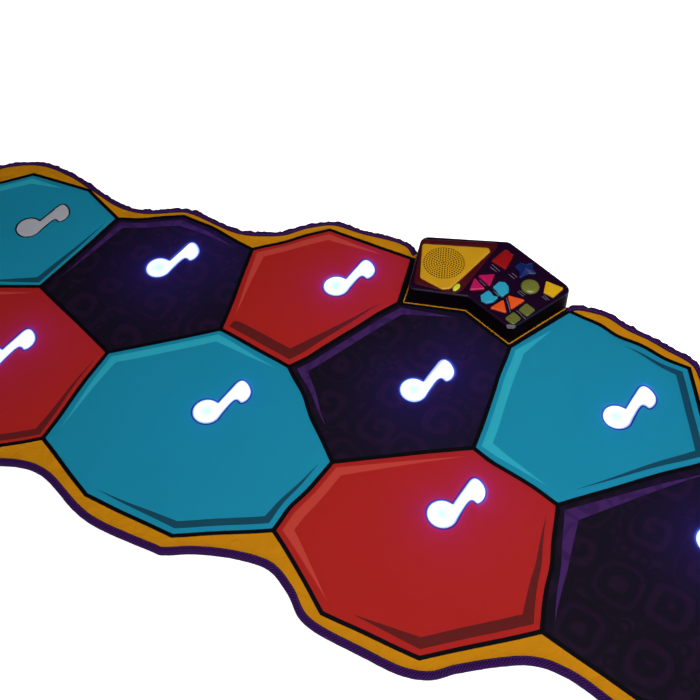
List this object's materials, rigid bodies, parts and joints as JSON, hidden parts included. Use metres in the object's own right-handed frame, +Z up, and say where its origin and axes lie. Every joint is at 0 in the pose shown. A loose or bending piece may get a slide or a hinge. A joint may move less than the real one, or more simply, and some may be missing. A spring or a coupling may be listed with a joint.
{
  "type": "electronic dance mat",
  "caption": "Wavy-edged padded floor mat of polygonal light-up step panels with music-note windows and a hard control console with shaped push buttons on its rear edge.",
  "frame": {"origin": "middle of the whole mat's plan, on the floor", "axes": "+X along the mat, +Y across it towards the control console, +Z up"},
  "size_m": [1.4314, 0.7558, 0.0402],
  "materials": {
    "backing_rubber": "dimpled anti-slip rubber",
    "foam": "closed-cell foam",
    "sensor_film": "printed film",
    "flex_circuit": "flexible circuit strip",
    "cover_fabric": "printed coated fabric, ochre with black outlines",
    "binding_tape": "twill tape",
    "pad_teal": "printed coated fabric",
    "pad_red": "printed coated fabric",
    "pad_purple": "printed coated fabric with tone-on-tone motifs",
    "note_window": "translucent, lit from below",
    "shell_plastic": "semi-gloss moulded plastic",
    "bezel_plastic": "semi-gloss moulded plastic",
    "grille_plastic": "semi-gloss moulded plastic",
    "speaker_steel": "pressed steel",
    "speaker_cone": "black paper",
    "lens_plastic": "translucent",
    "button_red": "satin",
    "button_blue": "satin",
    "button_yellow": "satin",
    "button_magenta": "satin",
    "button_cyan": "satin",
    "button_orange": "satin",
    "button_olive": "satin",
    "silicone": "silicone",
    "circuit_board": "solder mask",
    "ribbon": "flat cable",
    "screw_steel": "zinc plated",
    "battery": "plain sleeve",
    "contact_nickel": "nickel plated"
  },
  "bodies": {
    "mat": {"anti_slip_backing": "backing_rubber", "foam_core": "foam", "sensor_film": "sensor_film", "light_harness": "flex_circuit", "spacer_foam": "foam", "top_cover": "cover_fabric", "edge_binding": "binding_tape", "console_base": "shell_plastic", "console_top": "shell_plastic", "speaker_bezel": "bezel_plastic", "speaker_grille": "grille_plastic", "speaker_basket": "speaker_steel", "speaker_cone": "speaker_cone", "indicator_lens": "lens_plastic", "key_mat": "silicone", "circuit_board": "circuit_board", "ribbon_cable": "ribbon", "battery_1": "battery", "battery_2": "battery", "battery_3": "battery", "contact_plate_front": "contact_nickel", "contact_plate_back": "contact_nickel", "housing_screw_1": "screw_steel", "housing_screw_2": "screw_steel", "housing_screw_3": "screw_steel", "housing_screw_4": "screw_steel"},
    "step_panel_1": {"pad_1_teal": "pad_teal", "note_window_1": "note_window"},
    "step_panel_2": {"pad_2_red": "pad_red", "note_window_2": "note_window"},
    "step_panel_3": {"pad_3_purple": "pad_purple", "note_window_3": "note_window"},
    "step_panel_4": {"pad_4_teal": "pad_teal", "note_window_4": "note_window"},
    "step_panel_5": {"pad_5_red": "pad_red", "note_window_5": "note_window"},
    "step_panel_6": {"pad_6_purple": "pad_purple", "note_window_6": "note_window"},
    "step_panel_7": {"pad_7_red": "pad_red", "note_window_7": "note_window"},
    "step_panel_8": {"pad_8_teal": "pad_teal", "note_window_8": "note_window"},
    "step_panel_9": {"pad_9_purple": "pad_purple", "note_window_9": "note_window"},
    "red_kite_key": {"button_red_kite": "button_red"},
    "blue_star_key": {"button_blue_star": "button_blue"},
    "yellow_trapezoid_key": {"button_yellow_trapezoid": "button_yellow"},
    "magenta_up_key": {"button_magenta_up": "button_magenta"},
    "magenta_down_key": {"button_magenta_down": "button_magenta"},
    "cyan_up_key": {"button_cyan_up": "button_cyan"},
    "cyan_down_key": {"button_cyan_down": "button_cyan"},
    "orange_up_key": {"button_orange_up": "button_orange"},
    "orange_down_key": {"button_orange_down": "button_orange"},
    "olive_up_key": {"button_olive_up": "button_olive"},
    "olive_down_key": {"button_olive_down": "button_olive"},
    "olive_round_key": {"button_olive_round": "button_olive"},
    "door": {"battery_door": "shell_plastic", "door_screw": "screw_steel"}
  },
  "joints": [
    {"name": "step_1", "type": "slide", "parent": "mat", "child": "step_panel_1", "axis": [0, 0, -1], "range_m": [0, 0.0015], "stiffness_N_per_m": 4000, "springref_m": -0.001, "deforming": ["spacer_foam"]},
    {"name": "step_2", "type": "slide", "parent": "mat", "child": "step_panel_2", "axis": [0, 0, -1], "range_m": [0, 0.0015], "stiffness_N_per_m": 4000, "springref_m": -0.001, "deforming": ["spacer_foam"]},
    {"name": "step_3", "type": "slide", "parent": "mat", "child": "step_panel_3", "axis": [0, 0, -1], "range_m": [0, 0.0015], "stiffness_N_per_m": 4000, "springref_m": -0.001, "deforming": ["spacer_foam"]},
    {"name": "step_4", "type": "slide", "parent": "mat", "child": "step_panel_4", "axis": [0, 0, -1], "range_m": [0, 0.0015], "stiffness_N_per_m": 4000, "springref_m": -0.001, "deforming": ["spacer_foam"]},
    {"name": "step_5", "type": "slide", "parent": "mat", "child": "step_panel_5", "axis": [0, 0, -1], "range_m": [0, 0.0015], "stiffness_N_per_m": 4000, "springref_m": -0.001, "deforming": ["spacer_foam"]},
    {"name": "step_6", "type": "slide", "parent": "mat", "child": "step_panel_6", "axis": [0, 0, -1], "range_m": [0, 0.0015], "stiffness_N_per_m": 4000, "springref_m": -0.001, "deforming": ["spacer_foam"]},
    {"name": "step_7", "type": "slide", "parent": "mat", "child": "step_panel_7", "axis": [0, 0, -1], "range_m": [0, 0.0015], "stiffness_N_per_m": 4000, "springref_m": -0.001, "deforming": ["spacer_foam"]},
    {"name": "step_8", "type": "slide", "parent": "mat", "child": "step_panel_8", "axis": [0, 0, -1], "range_m": [0, 0.0015], "stiffness_N_per_m": 4000, "springref_m": -0.001, "deforming": ["spacer_foam"]},
    {"name": "step_9", "type": "slide", "parent": "mat", "child": "step_panel_9", "axis": [0, 0, -1], "range_m": [0, 0.0015], "stiffness_N_per_m": 4000, "springref_m": -0.001, "deforming": ["spacer_foam"]},
    {"name": "press_red_kite", "type": "slide", "parent": "mat", "child": "red_kite_key", "axis": [0, 0, -1], "range_m": [0, 0.0012], "stiffness_N_per_m": 400, "springref_m": -0.0005, "deforming": ["key_mat"]},
    {"name": "press_blue_star", "type": "slide", "parent": "mat", "child": "blue_star_key", "axis": [0, 0, -1], "range_m": [0, 0.0012], "stiffness_N_per_m": 400, "springref_m": -0.0005, "deforming": ["key_mat"]},
    {"name": "press_yellow_trapezoid", "type": "slide", "parent": "mat", "child": "yellow_trapezoid_key", "axis": [0, 0, -1], "range_m": [0, 0.0012], "stiffness_N_per_m": 400, "springref_m": -0.0005, "deforming": ["key_mat"]},
    {"name": "press_magenta_up", "type": "slide", "parent": "mat", "child": "magenta_up_key", "axis": [0, 0, -1], "range_m": [0, 0.0012], "stiffness_N_per_m": 400, "springref_m": -0.0005, "deforming": ["key_mat"]},
    {"name": "press_magenta_down", "type": "slide", "parent": "mat", "child": "magenta_down_key", "axis": [0, 0, -1], "range_m": [0, 0.0012], "stiffness_N_per_m": 400, "springref_m": -0.0005, "deforming": ["key_mat"]},
    {"name": "press_cyan_up", "type": "slide", "parent": "mat", "child": "cyan_up_key", "axis": [0, 0, -1], "range_m": [0, 0.0012], "stiffness_N_per_m": 400, "springref_m": -0.0005, "deforming": ["key_mat"]},
    {"name": "press_cyan_down", "type": "slide", "parent": "mat", "child": "cyan_down_key", "axis": [0, 0, -1], "range_m": [0, 0.0012], "stiffness_N_per_m": 400, "springref_m": -0.0005, "deforming": ["key_mat"]},
    {"name": "press_orange_up", "type": "slide", "parent": "mat", "child": "orange_up_key", "axis": [0, 0, -1], "range_m": [0, 0.0012], "stiffness_N_per_m": 400, "springref_m": -0.0005, "deforming": ["key_mat"]},
    {"name": "press_orange_down", "type": "slide", "parent": "mat", "child": "orange_down_key", "axis": [0, 0, -1], "range_m": [0, 0.0012], "stiffness_N_per_m": 400, "springref_m": -0.0005, "deforming": ["key_mat"]},
    {"name": "press_olive_up", "type": "slide", "parent": "mat", "child": "olive_up_key", "axis": [0, 0, -1], "range_m": [0, 0.0012], "stiffness_N_per_m": 400, "springref_m": -0.0005, "deforming": ["key_mat"]},
    {"name": "press_olive_down", "type": "slide", "parent": "mat", "child": "olive_down_key", "axis": [0, 0, -1], "range_m": [0, 0.0012], "stiffness_N_per_m": 400, "springref_m": -0.0005, "deforming": ["key_mat"]},
    {"name": "press_olive_round", "type": "slide", "parent": "mat", "child": "olive_round_key", "axis": [0, 0, -1], "range_m": [0, 0.0012], "stiffness_N_per_m": 400, "springref_m": -0.0005, "deforming": ["key_mat"]},
    {"name": "door_lift_off", "type": "slide", "parent": "mat", "child": "door", "axis": [0, 0, -1], "range_m": [0, 0.02]}
  ]
}
